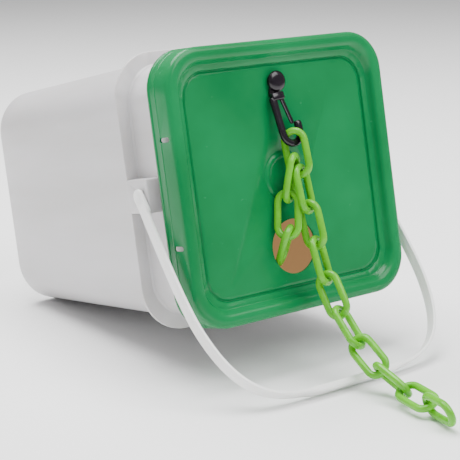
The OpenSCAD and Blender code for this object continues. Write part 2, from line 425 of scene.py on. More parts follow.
@dataclass(frozen=True)
class Palette:
    """Every finish of the object, one material each."""

    pail: bpy.types.Material
    # Painted light: the pail's inside gets a warm tint and a glow for daylight coming through
    # its wall
    inside: bpy.types.Material
    lid: bpy.types.Material
    handle: bpy.types.Material
    black: bpy.types.Material
    chain: bpy.types.Material
    steel: bpy.types.Material
    foam: bpy.types.Material
    floor: bpy.types.Material

    @staticmethod
    def mix() -> "Palette":
        """Builds the materials.

        Returns:
            The palette.
        """
        return Palette(
            # Natural high-density polyethylene: greyish white, waxy satin, light soaks in
            pail=MouldedPlastic(
                "hdpe_pail_wall", "#d0ced0", "#c5c3c3", "#d9d8d8", gloss=0.34, dull=0.5,
                drift_mm=45, stretch=5, grain_mm=1.6, grain_depth_mm=0.025, rub_mm=14,
                rub_share=0.35, glow=0.25, glow_mm=5, ior=1.54,
            ).make(),
            # The same wall from inside: its warm tan colours and faint glow are painted light,
            # standing in for daylight that comes through the plastic
            inside=MouldedPlastic(
                "hdpe_pail_inside_painted_light", "#b8966c", "#ab895f", "#c0a078", gloss=0.5, dull=0.6,
                drift_mm=70, grain_mm=2, rub_share=0.2, ior=1.54, painted_glow=0.5,
            ).make(),
            # Green polyethylene lid: glossy skin with a faint orange peel, dull in the rubs
            lid=MouldedPlastic(
                "polyethylene_lid_green", "#0a7f47", "#06713c", "#178a53", gloss=0.24,
                dull=0.4, drift_mm=90, grain_mm=2.4, grain_depth_mm=0.02, rub_mm=12,
                rub_share=0.25, glow=0.1, glow_mm=2, ior=1.52, shine=0.22,
            ).make(),
            # White polypropylene strap: smooth, bright, a little glossier than the pail
            handle=MouldedPlastic(
                "polypropylene_handle_white", "#fdfdfc", "#f5f5f3", "#eeeeec", gloss=0.3,
                dull=0.45, drift_mm=50, grain_mm=1.0, grain_depth_mm=0.015, rub_mm=8,
                rub_share=0.25, glow=0.2, glow_mm=2, ior=1.49,
            ).make(),
            # Black acetal hardware: hard, glossy, faintly purple in its highlights
            black=MouldedPlastic(
                "acetal_black", "#170e19", "#0f0912", "#261d2a", gloss=0.2, dull=0.38,
                drift_mm=12, grain_mm=0.7, grain_depth_mm=0.01, rub_mm=4, rub_share=0.3,
                ior=1.48,
            ).make(),
            # Lime polyethylene chain: satin gloss, a little light in it, mould line round it
            chain=MouldedPlastic(
                "polyethylene_chain_lime", "#66bd22", "#58ab1a", "#7cc63c", gloss=0.26,
                dull=0.42, drift_mm=18, grain_mm=1.0, grain_depth_mm=0.012, rub_mm=5,
                rub_share=0.35, glow=0.2, glow_mm=2.5, ior=1.51, shine=0.38, seam=True,
            ).make(),
            steel=ZincPlate().make(),
            foam=ClosedCellFoam().make(),
            floor=StudioFloor().make(),
        )


def new_object(name: str, data: bpy.types.ID) -> bpy.types.Object:
    """Puts a mesh, a light or a camera into the scene.

    Args:
        name: Name of the object.
        data: Its data.

    Returns:
        The object, at the origin.
    """
    made = bpy.data.objects.new(name, data)
    bpy.context.scene.collection.objects.link(made)
    return made


def face_outward(mesh: bpy.types.Mesh, merge_mm: float = 0) -> None:
    """Turns the faces of a closed mesh outward and shades them smooth.

    Args:
        mesh: The mesh.
        merge_mm: Distance below which points are merged first; none at 0.
    """
    work = bmesh.new()
    work.from_mesh(mesh)
    if merge_mm:
        bmesh.ops.remove_doubles(work, verts=work.verts, dist=merge_mm * MM)
    bmesh.ops.recalc_face_normals(work, faces=work.faces)
    work.to_mesh(mesh)
    work.free()
    mesh.shade_smooth()


def mesh_object(
    name: str, points: Sequence[Vector], faces: Sequence[Sequence[int]], scale: float = MM
) -> bpy.types.Object:
    """Makes a mesh object at the origin.

    Args:
        name: Name of the object.
        points: Its corners, in millimetres.
        faces: Corner numbers of each face.
        scale: Metres in one unit of the points.

    Returns:
        The object, its normals outward where it is closed.
    """
    mesh = bpy.data.meshes.new(name)
    mesh.from_pydata([tuple(p * scale) for p in points], [], [tuple(f) for f in faces])
    face_outward(mesh)
    return new_object(name, mesh)


def moved(x: float = 0, y: float = 0, z: float = 0) -> Matrix:
    """Shift in millimetres."""
    return Matrix.Translation((x, y, z))


def spun(degrees: float, axis: str) -> Matrix:
    """Turn in degrees about one of the main axes."""
    return Matrix.Rotation(math.radians(degrees), 4, axis)


def add_modifier(piece: bpy.types.Object, kind: str, **settings) -> None:
    """Adds a modifier, with the same levels or steps in the viewport as in the render.

    Args:
        piece: Object to add to.
        kind: Blender's modifier type.
        settings: Its properties.
    """
    made = piece.modifiers.new(kind.lower(), kind)
    for name, value in settings.items():
        setattr(made, name, value)
    if kind == "SUBSURF":
        made.render_levels = made.levels
    if kind == "SCREW":
        made.render_steps = made.steps


def apply_stack(piece: bpy.types.Object) -> bpy.types.Object:
    """Puts a piece's modifiers into its mesh.

    Args:
        piece: Object with modifiers, a mesh or a curve.

    Returns:
        A mesh object of the same name, with none.
    """
    bpy.context.view_layer.update()
    seen = piece.evaluated_get(bpy.context.evaluated_depsgraph_get())
    mesh = bpy.data.meshes.new_from_object(seen)
    name = piece.name
    made = new_object(name + "_made", mesh)
    made.matrix_world = piece.matrix_world.copy()
    bpy.data.objects.remove(piece)
    made.name = name
    return made


def settle(piece: bpy.types.Object, place: Matrix) -> bpy.types.Object:
    """Moves a piece's mesh to its place, in the row frame, and leaves its object at the origin.

    Args:
        piece: Mesh object at its own origin, in metres.
        place: Where it goes, with its translation in millimetres.

    Returns:
        The same object.
    """
    metres = place.copy()
    metres.translation = place.translation * MM
    piece.data.transform(metres)
    piece.data.update()
    return piece


def subtract(piece: bpy.types.Object, *cutters: bpy.types.Object) -> bpy.types.Object:
    """Cuts the cutters out of a piece, and removes them.

    Args:
        piece: Mesh object to cut.
        cutters: Closed mesh objects.

    Returns:
        The cut piece.
    """
    for cutter in cutters:
        add_modifier(piece, "BOOLEAN", operation="DIFFERENCE", solver="EXACT", object=cutter)
    made = apply_stack(piece)
    for cutter in cutters:
        bpy.data.objects.remove(cutter)
    return made


def join(name: str, parts: Sequence[bpy.types.Object]) -> bpy.types.Object:
    """Joins finished meshes of one material into one piece.

    Args:
        name: Name of the piece.
        parts: Mesh objects in their places.

    Returns:
        The joined object.
    """
    work = bmesh.new()
    for part in parts:
        work.from_mesh(part.data)
        bpy.data.objects.remove(part)
    mesh = bpy.data.meshes.new(name)
    work.to_mesh(mesh)
    work.free()
    return new_object(name, mesh)


def soften(piece: bpy.types.Object, width_mm: float, segments: int = 3) -> bpy.types.Object:
    """Rounds a piece's sharp edges and keeps its flat faces flat.

    Args:
        piece: Mesh object.
        width_mm: Width of the rounding.
        segments: Faces across it.

    Returns:
        The same object.
    """
    add_modifier(
        piece,
        "BEVEL",
        width=width_mm * MM,
        segments=segments,
        limit_method="ANGLE",
        angle_limit=math.radians(SOFTENED_DEG),
        harden_normals=True,
        use_clamp_overlap=True,
    )
    return piece


def round_square(half: float, radius: float, z: float, steps: int = 10) -> Ring:
    """Ring of a square with round corners, counter-clockwise seen from +z.

    Args:
        half: Half its width.
        radius: Radius of its corners.
        z: Height of the ring.
        steps: Faces round each corner.

    Returns:
        The ring's points, with support points beside each corner so that the sides stay flat.
    """
    points: Ring = []
    flat = half - radius
    for quarter in range(4):
        turn = Matrix.Rotation(math.radians(90 * quarter), 3, "Z")
        for i in range(steps + 1):
            a = math.radians(90 * i / steps)
            corner = Vector((flat + radius * math.cos(a), flat + radius * math.sin(a), 0))
            points.append(turn @ corner + Vector((0, 0, z)))
        for share in SUPPORTS:
            points.append(turn @ Vector((flat * share, half, 0)) + Vector((0, 0, z)))
    return points


def stepped(half: float, radius: float, z: float, steps: Sequence[Step]) -> list[Step]:
    """Sizes of a row of square rings, each given by its steps from one base size.

    Args:
        half: Base of the half widths.
        radius: Base of the corner radii.
        z: Base of the heights.
        steps: What each ring adds to the three.

    Returns:
        (half width, corner radius, height) of each ring.
    """
    return [(half + out, radius + turn, z + rise) for out, turn, rise in steps]


def loft(name: str, rings: Sequence[Ring], capped: bool = True) -> bpy.types.Object:
    """Skins a row of rings of equal length.

    Args:
        name: Name of the object.
        rings: The rings in order, each closed on itself.
        capped: True to close both ends with a face; False to join the last ring to the first.

    Returns:
        The mesh object.
    """
    count = len(rings[0])
    points = [p for ring in rings for p in ring]
    faces: list[list[int]] = []
    last = len(rings) - 1 if capped else len(rings)
    for level in range(last):
        for i in range(count):
            a, b = level * count + i, level * count + (i + 1) % count
            up = count if level < len(rings) - 1 else -level * count
            faces.append([a, b, b + up, a + up])
    if capped:
        faces.append(list(range(count))[::-1])
        faces.append([(len(rings) - 1) * count + i for i in range(count)])
    return mesh_object(name, points, faces)


def turned(name: str, profile: Sequence[Point2], steps: int = 48) -> bpy.types.Object:
    """Turns a profile about z with a Screw, and applies it.

    Args:
        name: Name of the object.
        profile: (radius, z) from top to bottom, in millimetres; closed where both ends are 0.
        steps: Faces round the turn.

    Returns:
        The mesh object, at its own origin.
    """
    mesh = bpy.data.meshes.new(name)
    edges = [(i, i + 1) for i in range(len(profile) - 1)]
    mesh.from_pydata([(r * MM, 0, z * MM) for r, z in profile], edges, [])
    made = new_object(name, mesh)
    merge = {"use_merge_vertices": True, "merge_threshold": MERGE_MM * MM}
    add_modifier(made, "SCREW", steps=steps, axis="Z", **merge)
    made = apply_stack(made)
    face_outward(made.data, MERGE_MM)
    return made


def drill(
    name: str, radius: float, reach: float, steps: int, middle: float = 0
) -> bpy.types.Object:
    """Round cutter along z.

    Args:
        name: Name of the object.
        radius: Its radius.
        reach: Its length each way from the middle.
        steps: Faces round it.
        middle: Height of its middle.

    Returns:
        The cutter.
    """
    top, end = middle + reach, middle - reach
    return turned(name, [(0, top), (radius, top), (radius, end), (0, end)], steps)


def plate(name: str, outline: Sequence[Point2], thick: float, soft: float) -> bpy.types.Object:
    """Flat plate with softened edges, its middle plane at z = 0.

    Args:
        name: Name of the object.
        outline: Corners of the outline, counter-clockwise, in millimetres.
        thick: Thickness.
        soft: Rounding of its edges.

    Returns:
        The mesh object, modifiers applied, at its own origin.
    """
    count = len(outline)
    made = mesh_object(name, [Vector((x, y, 0)) for x, y in outline], [list(range(count))])
    add_modifier(made, "SOLIDIFY", thickness=thick * MM, offset=0, use_even_offset=True)
    soften(made, soft)
    return apply_stack(made)


def capsule(length: float, radius: float, steps: int = 10) -> list[Point2]:
    """Outline with a round end at the origin and another at (length, 0).

    Args:
        length: Distance between the ends' centres.
        radius: Radius of the ends.
        steps: Faces round each end.

    Returns:
        The outline, counter-clockwise.
    """
    ends = []
    for centre, start in ((0.0, 90), (length, -90)):
        for i in range(steps + 1):
            a = math.radians(start + 180 * i / steps)
            ends.append((centre + radius * math.cos(a), radius * math.sin(a)))
    return ends


def box_cage(name: str, low: Sequence[float], high: Sequence[float]) -> bpy.types.Object:
    """Cage of eight corners, to be softened and cut.

    Args:
        name: Name of the object.
        low: Lowest corner.
        high: Highest corner.

    Returns:
        The mesh object.
    """
    xs, ys, zs = zip(low, high)
    points = [Vector((x, y, z)) for z in zs for y in ys for x in xs]
    faces = [(0, 2, 3, 1), (4, 5, 7, 6), (0, 1, 5, 4), (2, 6, 7, 3), (0, 4, 6, 2), (1, 3, 7, 5)]
    return mesh_object(name, points, faces)


def finish_piece(
    piece: bpy.types.Object,
    body: str,
    materials: Sequence[bpy.types.Material],
    replaced: Sequence[str] = (),
    sharp_deg: float = 0,
) -> None:
    """Dresses a piece and puts it on its body.

    Args:
        piece: Finished object in its place.
        body: CAD body that it rides on.
        materials: Its materials, the first one filling the piece.
        replaced: CAD nodes that it stands for.
        sharp_deg: Angle past which its edges stay sharp; 0 leaves its shading as it is.
    """
    if sharp_deg:
        piece.data.shade_smooth()
        piece.data.set_sharp_from_angle(angle=math.radians(sharp_deg))
    piece.data.materials.clear()
    for material in materials:
        piece.data.materials.append(material)
    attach(piece, body)
    if replaced:
        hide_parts(*replaced)
    LOG.info("%s rides on %s", piece.name, body)


@dataclass
class Pail:
    """Tapered square pail with its flange, neck, rim bead and two handle ears."""

    palette: Palette
    height: float = 370
    base_half: float = 119.5
    top_half: float = 128
    wall: float = 2.2
    corner: float = 46
    floor_thick: float = 2.8
    soft: float = 0.6
    sharp_deg: float = 35
    flange_half: float = 137.3
    flange_z: float = 287
    flange_corner: float = 45.5
    flange_thick: float = 3
    neck_half: float = 123.5
    neck_corner: float = 38
    neck_in_corner: float = 36
    bead_z: float = 355
    pivot_z: float = 309.4
    ear_out: float = 137.5
    ear_half: float = 16.5
    ear_top: float = 321
    ear_soft: float = 1.6
    ear_sharp_deg: float = 40
    bore: float = 4.47

    def half_at(self, z: float) -> float:
        """Half the width of the tapered wall at height z."""
        return self.base_half + (self.top_half - self.base_half) * z / (self.flange_z - 2)

    def build(self) -> None:
        """Builds the shell and the ears."""
        self.shell()
        for side in (-1, 1):
            self.ear(side)

    def shell(self) -> None:
        """Skins the pail from its outside base over the rim to its inside base."""
        under = self.flange_z - self.flange_thick
        base, neck = (self.base_half, self.corner), (self.neck_half, self.neck_corner)
        foot = [(-12, -10, 1.3), (-9.5, -8, 0), (-2.2, -2, 0), (-0.5, -0.4, 0.8)]
        wall = [(self.half_at(z), self.corner, z) for z in (2.8, 30, 150, under - 14)]
        wall.append((self.half_at(under - 1), self.corner, under - 1.2))
        brim = [(-0.4, -0.4, 0), (0, 0, 0.5), (0, 0, 2.4), (-0.5, -0.5, self.flange_thick)]
        bead = [(0, 0, 0), (3.4, 2, 0.6), (3.4, 2, 7), (2, 0.8, 8.4)]
        outside = [
            *stepped(*base, 0, foot),
            *wall,
            *stepped(self.flange_half, self.flange_corner, under, brim),
            *stepped(*neck, self.flange_z, [(1.8, 1.8, 0.1), (0, 0, 2)]),
            *stepped(*neck, self.bead_z, bead),
        ]
        mouth, bottom = self.neck_half - self.wall + 0.4, self.base_half - self.wall
        corner = self.corner - self.wall
        inside = [
            *stepped(mouth, self.neck_in_corner, self.height, [(0.6, 0.6, -6.2), (0, 0, -8)]),
            (mouth, self.neck_in_corner, self.flange_z - 10),
            (self.top_half - self.wall - 2, corner, self.flange_z - 14),
            *stepped(bottom, corner, 0, [(0.4, 0, 12), (-2, -2, 5), (-8, -6, self.floor_thick)]),
        ]
        rings = [round_square(h, r, z) for h, r, z in outside + inside]
        made = loft("pail_shell", rings)
        soften(made, self.soft, 2)
        made = settle(apply_stack(made), LAY_DOWN)
        finishes = [self.palette.pail, self.palette.inside]
        finish_piece(made, Body.PAIL.value, finishes, ["pail_body"], self.sharp_deg)
        self.paint_inside_light(made)

    def paint_inside_light(self, shell: bpy.types.Object) -> None:
        """Gives the faces that look into the pail the inside's finish, whose warm tint and glow
        are painted light.

        Args:
            shell: The finished shell, in its place.
        """
        back = LAY_DOWN.inverted().to_3x3()
        lowest, highest = self.floor_thick - 0.5, self.height - 7
        floor_top = self.floor_thick + 3
        for face in shell.data.polygons:
            centre = back @ face.center / MM
            facing = back @ face.normal
            inward = facing.x * centre.x + facing.y * centre.y < -0.5
            on_floor = facing.z > 0.9 and centre.z < floor_top
            if lowest < centre.z < highest and (inward or on_floor):
                face.material_index = 1

    def ear(self, side: int) -> None:
        """Builds the block that one end of the handle turns in.

        Args:
            side: -1 or 1, the side of the pail.
        """
        name = "pail_ear_left" if side < 0 else "pail_ear_right"
        low_x, high_x = sorted((side * (self.neck_half - 1), side * self.ear_out))
        low = (low_x, -self.ear_half, self.flange_z - 2)
        made = soften(box_cage(name, low, (high_x, self.ear_half, self.ear_top)), self.ear_soft)
        stand = moved(side * (self.ear_out - 3), 0, self.pivot_z) @ spun(90, "Y")
        bore = settle(drill("bore", self.bore, 12, 32), stand)
        made = settle(subtract(made, bore), LAY_DOWN)
        finishes = [self.palette.pail]
        finish_piece(made, Body.PAIL.value, finishes, sharp_deg=self.ear_sharp_deg)


@dataclass
class Lid:
    """Press-fit lid: convex rim, recessed panel with vents, round mark and outlet hole."""

    palette: Palette
    top: float = 370
    half: float = 134
    inner_corner: float = 37.6
    skirt: float = 33.5
    skirt_thick: float = 2.4
    soft: float = 0.5
    sharp_deg: float = 38
    top_thick: float = 2.8
    panel_z: float = 358.65
    panel_thick: float = 2.6
    plug_half: float = 121.4
    plug_corner: float = 35.7
    cut: float = 9
    outlet: float = 27
    outlet_drop: float = 70
    edge_near: float = 0.05
    edge_deep: float = 0.3
    edge_drop: float = 0.35
    stud_rise: float = 92.5
    stud_hole: float = 4.2
    vent_off: float = 51
    vent_len: float = 15
    vent_wide: float = 4.6
    vent_z: float = 355
    vent_cut: float = 14
    vent_soft: float = 0.05
    mark: float = 26

    def profile(self) -> list[Step]:
        """Half width, corner radius and height of each ring, from the underside out and over.

        Returns:
            The rings of the lid's whole skin.
        """
        low, floor = self.top - self.skirt, self.top - self.top_thick
        inner, plug = self.half - self.skirt_thick, self.plug_half
        under = self.panel_z - self.panel_thick
        bore = [(-3, -3, 0), (0, 0, 2)]
        skirt = [
            (-0.2, 39.8, 0), (0, 40, 0.5), (0, 40, 3.2), (-0.7, 39.3, 3.9), (-0.7, 39.3, 10.5),
            (-0.3, 39.7, 11.1), (-0.3, 39.7, 12.3), (-0.7, 39.3, 12.9),
        ]  # fmt: skip
        # Over the convex rim and down into the groove round the panel
        rim = [
            (-0.8, 39.2, -5.2), (-1.5, 38.5, -2.6), (-3.2, 36.8, -0.9), (-5.6, 34.4, -0.15),
            (-8.2, 31.8, 0), (-11.0, 29.0, -0.35), (-13.2, 26.8, -1.1), (-14.4, 28.5, -2.1),
            (-15.6, 30.0, -4.6), (-16.8, 29.4, -8.0), (-18.0, 28.4, -9.2),
        ]  # fmt: skip
        groove = [
            (-23.4, 25.6, 1.1), (-23.9, 25.2, -1.5), (-25.2, 24.8, -1.5), (-26.6, 24.0, 0),
            (-29.5, 22.6, 0),
        ]  # fmt: skip
        return [
            *stepped(plug, self.plug_corner, under, bore),
            (plug, self.plug_corner, floor),
            (inner, self.inner_corner, floor),
            (inner, self.inner_corner, low),
            *stepped(self.half, 0, low, skirt),
            *stepped(self.half, 0, self.top, rim),
            *stepped(self.half, 0, self.panel_z, groove),
        ]

    def build(self) -> None:
        """Skins the lid, rounds it, and cuts its openings."""
        rings = [round_square(h, r, z, 12) for h, r, z in self.profile()]
        made = loft("lid_shell", rings)
        soften(made, self.soft, 2)
        made = subtract(apply_stack(made), *self.cutters())
        self.round_hole_edge(made)
        settle(made, LAY_DOWN)
        finish_piece(made, Body.LID.value, [self.palette.lid], ["lid"], self.sharp_deg)

    def round_hole_edge(self, lid: bpy.types.Object) -> None:
        """Pulls the edge of the outlet hole down a little, as a moulded edge is rounded.

        Args:
            lid: The cut lid, still along the pail's axis.
        """
        for point in lid.data.vertices:
            away = math.hypot(point.co.x, point.co.y + self.outlet_drop * MM)
            high = point.co.z > (self.panel_z - self.edge_deep) * MM
            if high and away < (self.outlet + self.edge_near) * MM:
                point.co.z -= self.edge_drop * MM

    def cutters(self) -> list[bpy.types.Object]:
        """Makes the bodies that cut the vents, the outlet, the stud's hole and the mark.

        Returns:
            The cutters.
        """
        tall = self.panel_z
        outlet = drill("outlet_cutter", self.outlet, self.cut, 72, tall)
        stud = drill("stud_cutter", self.stud_hole, self.cut, 32, tall)
        # Each point of the mark: how far in from its radius, and how high above the panel
        ring = [
            (-0.6, 3), (-0.5, 0.1), (0.3, -0.9), (1.7, -0.9), (2.5, 0.1), (6.4, 0.1),
            (7.0, -0.6), (11, -1.2), (18, -1.6),
        ]  # fmt: skip
        profile = [(self.mark - inset, tall + rise) for inset, rise in ring]
        made = [
            settle(outlet, moved(y=-self.outlet_drop)),
            settle(stud, moved(y=self.stud_rise)),
            turned("mark_cutter", [(0, tall + 3), *profile, (0, tall - 1.7)], 72),
        ]
        straight = self.vent_len - self.vent_wide
        stand = moved(0, self.half, self.vent_z - straight / 2) @ spun(90, "X") @ spun(90, "Z")
        for quarter in range(4):
            for side in (-1, 1):
                outline = capsule(straight, self.vent_wide / 2, 8)
                vent = plate("vent_cutter", outline, self.vent_cut, self.vent_soft)
                place = spun(90 * quarter, "Z") @ moved(side * self.vent_off) @ stand
                made.append(settle(vent, place))
        return made


@dataclass
class BailHandle:
    """Flat moulded strap bent in a bow, ribbed along its middle, with a thicker grip."""

    palette: Palette
    reach: float = 230
    half: float = 147
    power: float = 4.3
    tuck: float = 0.04
    arm: float = 140
    wide: float = 12.5
    thick: float = 3.6
    grip_thick: float = 7
    grip_half: float = 54
    grip_reach: float = 100
    grip_ease: float = 6
    lean: float = 30
    pivot_z: float = 309.4
    strap_x: float = 140.6
    pad_len: float = 22
    pad_round: float = 7.4
    pin: float = 4.4
    pin_in: float = 128
    rings: int = 84
    samples: int = 6001
    first_deg: float = 0.0005
    end_trim: float = 4
    sharp_deg: float = 45

    def point_at(self, turn: float) -> tuple[float, float]:
        """Place of the strap's middle line in the handle's plane.

        Args:
            turn: Angle round the bow in radians, 0 at one pivot.

        Returns:
            (x, reach) in millimetres.
        """
        reach = self.reach * math.sin(turn) ** (2 / self.power)
        c = math.cos(turn)
        x = math.copysign(self.half * abs(c) ** (2 / self.power), c)
        return x * (1 - self.tuck + self.tuck * min(1, reach / self.arm)), reach

    def path(self) -> np.ndarray:
        """Middle line in even steps along its length.

        Returns:
            Points as rows of (x, reach).
        """
        turns = np.linspace(self.first_deg, 180 - self.first_deg, self.samples)
        fine = np.array([self.point_at(math.radians(a)) for a in turns])
        steps = np.r_[0, np.cumsum(np.linalg.norm(np.diff(fine, axis=0), axis=1))]
        even = np.linspace(self.end_trim, steps[-1] - self.end_trim, self.rings)
        return np.c_[np.interp(even, steps, fine[:, 0]), np.interp(even, steps, fine[:, 1])]

    def section(self, thick: float) -> list[tuple[float, float]]:
        """Outline of the strap across its length: rounded edges, a low rib on both faces.

        Args:
            thick: Thickness of the strap there.

        Returns:
            (across, out) pairs in order round the section.
        """
        side = [(0.5, 0.0), (0.5, 0.7), (0.44, 1.0), (0.33, 0.86), (0.14, 0.86), (0.07, 1.0)]
        half = [(w * self.wide, t * thick / 2) for w, t in side]
        upper = half + [(-w, t) for w, t in reversed(half)]
        lower = [(w, -t) for w, t in reversed(upper)][1:-1]
        return upper + lower

    def build(self) -> None:
        """Sweeps the strap and adds its pads and pins."""
        path = self.path()
        along = np.gradient(path, axis=0)
        along /= np.linalg.norm(along, axis=1)[:, None]
        rings: list[Ring] = []
        for (x, reach), (dx, dr) in zip(path, along):
            into = (self.grip_half + self.grip_ease / 2 - abs(x)) / self.grip_ease
            ease = min(1.0, max(0.0, into)) if reach > self.grip_reach else 0.0
            ease = ease * ease * (3 - 2 * ease)
            thick = self.thick + (self.grip_thick - self.thick) * ease
            out = (dr, -dx)
            section = self.section(thick)
            rings.append([Vector((x + out[0] * t, reach + out[1] * t, w)) for w, t in section])
        strap = loft("strap", rings)
        add_modifier(strap, "SUBSURF", levels=1)
        parts = [apply_stack(strap)]
        for side in (-1, 1):
            parts += [self.pad(side), self.pin_piece(side)]
        made = join("bail_handle_strap", parts)
        stand = (
            LAY_DOWN
            @ moved(z=self.pivot_z)
            @ spun(-self.lean, "X")
            @ Matrix.Scale(-1, 4, (0, 1, 0))
        )
        settle(made, stand)
        face_outward(made.data)
        finishes, nodes = [self.palette.handle], ["bail_handle"]
        finish_piece(made, Body.HANDLE.value, finishes, nodes, self.sharp_deg)

    def pad(self, side: int) -> bpy.types.Object:
        """Round-ended pad that carries a pin.

        Args:
            side: -1 or 1.

        Returns:
            The pad in the handle's plane.
        """
        made = plate("pad", capsule(self.pad_len - 6, self.pad_round), self.thick, 0.9)
        return settle(made, moved(side * self.strap_x) @ spun(90, "Y") @ spun(90, "Z"))

    def pin_piece(self, side: int) -> bpy.types.Object:
        """Pin that turns in the ear, with a low boss on the pad's outside.

        Args:
            side: -1 or 1.

        Returns:
            The pin in the handle's plane.
        """
        outer = self.strap_x + self.thick / 2
        profile = [
            (0, outer + 0.6),
            (4.2, outer + 0.6),
            (5.0, outer + 0.1),
            (5.0, outer - 1.0),
            (self.pin, outer - 1.2),
            (self.pin, self.pin_in + 0.8),
            (self.pin - 0.8, self.pin_in),
            (0, self.pin_in),
        ]
        made = turned("pin", profile, 32)
        return settle(made, spun(90 * side, "Y"))


@dataclass
class SnapHook:
    """Button stud, hook body and sprung gate on the lid."""

    palette: Palette
    stud_rise: float = 92.5
    button: float = 10.3
    stud: float = 4
    panel_z: float = 358.65
    eye_lift: float = 0.6
    eye_thick: float = 2.4
    eye: float = 9
    lean: float = 9.8
    turn: float = 3.8
    rod: float = 3
    bow: float = 9.5
    spine_x: float = -8.5
    nose_x: float = 10.5
    bow_y: float = -52.6
    nose_tip_y: float = -43
    shoulder_y: float = -18.5
    pivot: Point2 = (0, -14)
    gate_end: Point2 = (5.1, -42)
    gate_wide: float = 4
    gate_thick: float = 2
    cheek: float = 3.4
    cheek_low: float = 2.9
    slot: float = 1.9
    pin: float = 1.2
    play: float = 0.1
    cut: float = 5
    bar_sides: int = 12
    bar_power: float = 0.8
    bow_steps: int = 12
    button_sharp_deg: float = 50
    sharp_deg: float = 45

    def at_stud(self) -> Matrix:
        """Placement of the stud's axis on the lid."""
        return LAY_DOWN @ moved(y=self.stud_rise)

    def at_hook(self) -> Matrix:
        """Placement of the hook's own plane, which leans out below the eye."""
        lift = self.panel_z + self.eye_lift + self.eye_thick / 2 + 1
        return (
            self.at_stud()
            @ spun(self.turn, "Z")
            @ moved(z=lift)
            @ spun(-self.lean, "X")
        )

    def build(self) -> None:
        """Builds the stud, the body and the gate."""
        self.button_stud()
        self.body()
        self.gate()

    def button_stud(self) -> None:
        """Turns the domed button and its shank."""
        base = self.panel_z + self.eye_lift + self.eye_thick + 0.3
        r = self.button
        end = self.panel_z - 11
        dome = [(0, 4.4), (0.45, 4.25), (0.75, 3.6), (0.93, 2.7), (1, 1.6), (1, 0.7)]
        shank = [(r - 0.6, base), (self.stud, base), (self.stud, end + 0.4)]
        shank += [(self.stud - 0.5, end), (0, end)]
        profile = [(r * share, base + rise) for share, rise in dome] + shank
        made = settle(turned("button_stud_turned", profile), self.at_stud())
        finishes, sharp = [self.palette.black], self.button_sharp_deg
        finish_piece(made, Body.LID.value, finishes, ["button_stud"], sharp)

    def rod_line(self) -> list[tuple[float, float, float, float]]:
        """Middle line of the spine, bow and nose with the bar's size along it.

        Returns:
            (x, y, half width in the hook's plane, half thickness) of each section.
        """
        mid = (self.spine_x + self.nose_x) / 2
        wide, bow = self.rod + 1.0, self.bow + 0.8
        line = [
            (self.spine_x - 1.0, -14.5, wide + 0.4, self.rod),
            (self.spine_x - 1.0, -19, wide + 0.2, self.rod),
            (self.spine_x - 1.0, -30, wide - 0.1, self.rod - 0.1),
            (self.spine_x - 1.0, -44, wide, self.rod),
            (self.spine_x - 0.9, self.bow_y + 2, wide - 0.1, self.rod),
        ]
        for i in range(1, self.bow_steps):
            a = math.radians(180 + 180 * i / self.bow_steps)
            line.append((mid + bow * math.cos(a), self.bow_y + bow * math.sin(a), 3.8, self.rod))
        nose = self.nose_x + 1.2
        return line + [
            (nose - 0.3, self.bow_y + 1, 3.9, self.rod + 0.1),
            (nose, self.bow_y + 4, 4.2, self.rod + 0.3),
            (nose, self.nose_tip_y - 3, 4.2, self.rod + 0.3),
            (nose, self.nose_tip_y, 4.0, self.rod + 0.1),
            (nose, self.nose_tip_y + 1.2, 2.9, self.rod - 0.8),
        ]

    def rod_sweep(self) -> bpy.types.Object:
        """Sweeps the flattened bar of the hook and smooths it.

        Returns:
            The bar, in the hook's plane.
        """
        line = self.rod_line()
        centre = np.array([row[:2] for row in line])
        along = np.gradient(centre, axis=0)
        along /= np.linalg.norm(along, axis=1)[:, None]
        rings: list[Ring] = []
        for (x, y, wide, thick), (dx, dy) in zip(line, along):
            ring = []
            for k in range(self.bar_sides):
                a = 2 * math.pi * k / self.bar_sides
                reach = math.copysign(abs(math.cos(a)) ** self.bar_power, math.cos(a)) * wide
                lift = math.copysign(abs(math.sin(a)) ** self.bar_power, math.sin(a)) * thick
                ring.append(Vector((x + dy * reach, y - dx * reach, lift)))
            rings.append(ring)
        made = loft("hook_bar", rings)
        add_modifier(made, "SUBSURF", levels=2)
        return apply_stack(made)

    def body(self) -> None:
        """Joins the eye, the shoulder with its gate slot, and the rod."""
        lift = self.panel_z + self.eye_lift + self.eye_thick / 2
        around = [
            (self.eye * math.cos(math.radians(a)), self.eye * math.sin(math.radians(a)))
            for a in range(-38, 218, 8)
        ]
        around += [(self.spine_x - 1.4, -14), (1.4, -14)]
        eye = plate("eye", around, self.eye_thick, 0.6)
        hole = drill("eye_hole", self.stud + self.play, self.cut, 32)
        eye = settle(subtract(eye, hole), self.at_stud() @ moved(z=lift))
        low_x = self.spine_x - self.rod + 0.4
        shoulder = box_cage(
            "shoulder",
            (low_x, self.shoulder_y, -self.cheek_low),
            (low_x + 14.5, self.shoulder_y + 7.5, self.cheek),
        )
        soften(shoulder, 1.1, 3)
        gap = box_cage(
            "gap",
            (self.pivot[0] - 3.5, self.shoulder_y - 2, -self.slot),
            (self.pivot[0] + 12, self.shoulder_y + 12, self.slot),
        )
        shoulder = settle(subtract(shoulder, gap), self.at_hook())
        bar = settle(self.rod_sweep(), self.at_hook())
        made = join("snap_hook_body", [eye, shoulder, bar])
        finishes = [self.palette.black]
        finish_piece(made, Body.HOOK.value, finishes, ["hook_body"], self.sharp_deg)

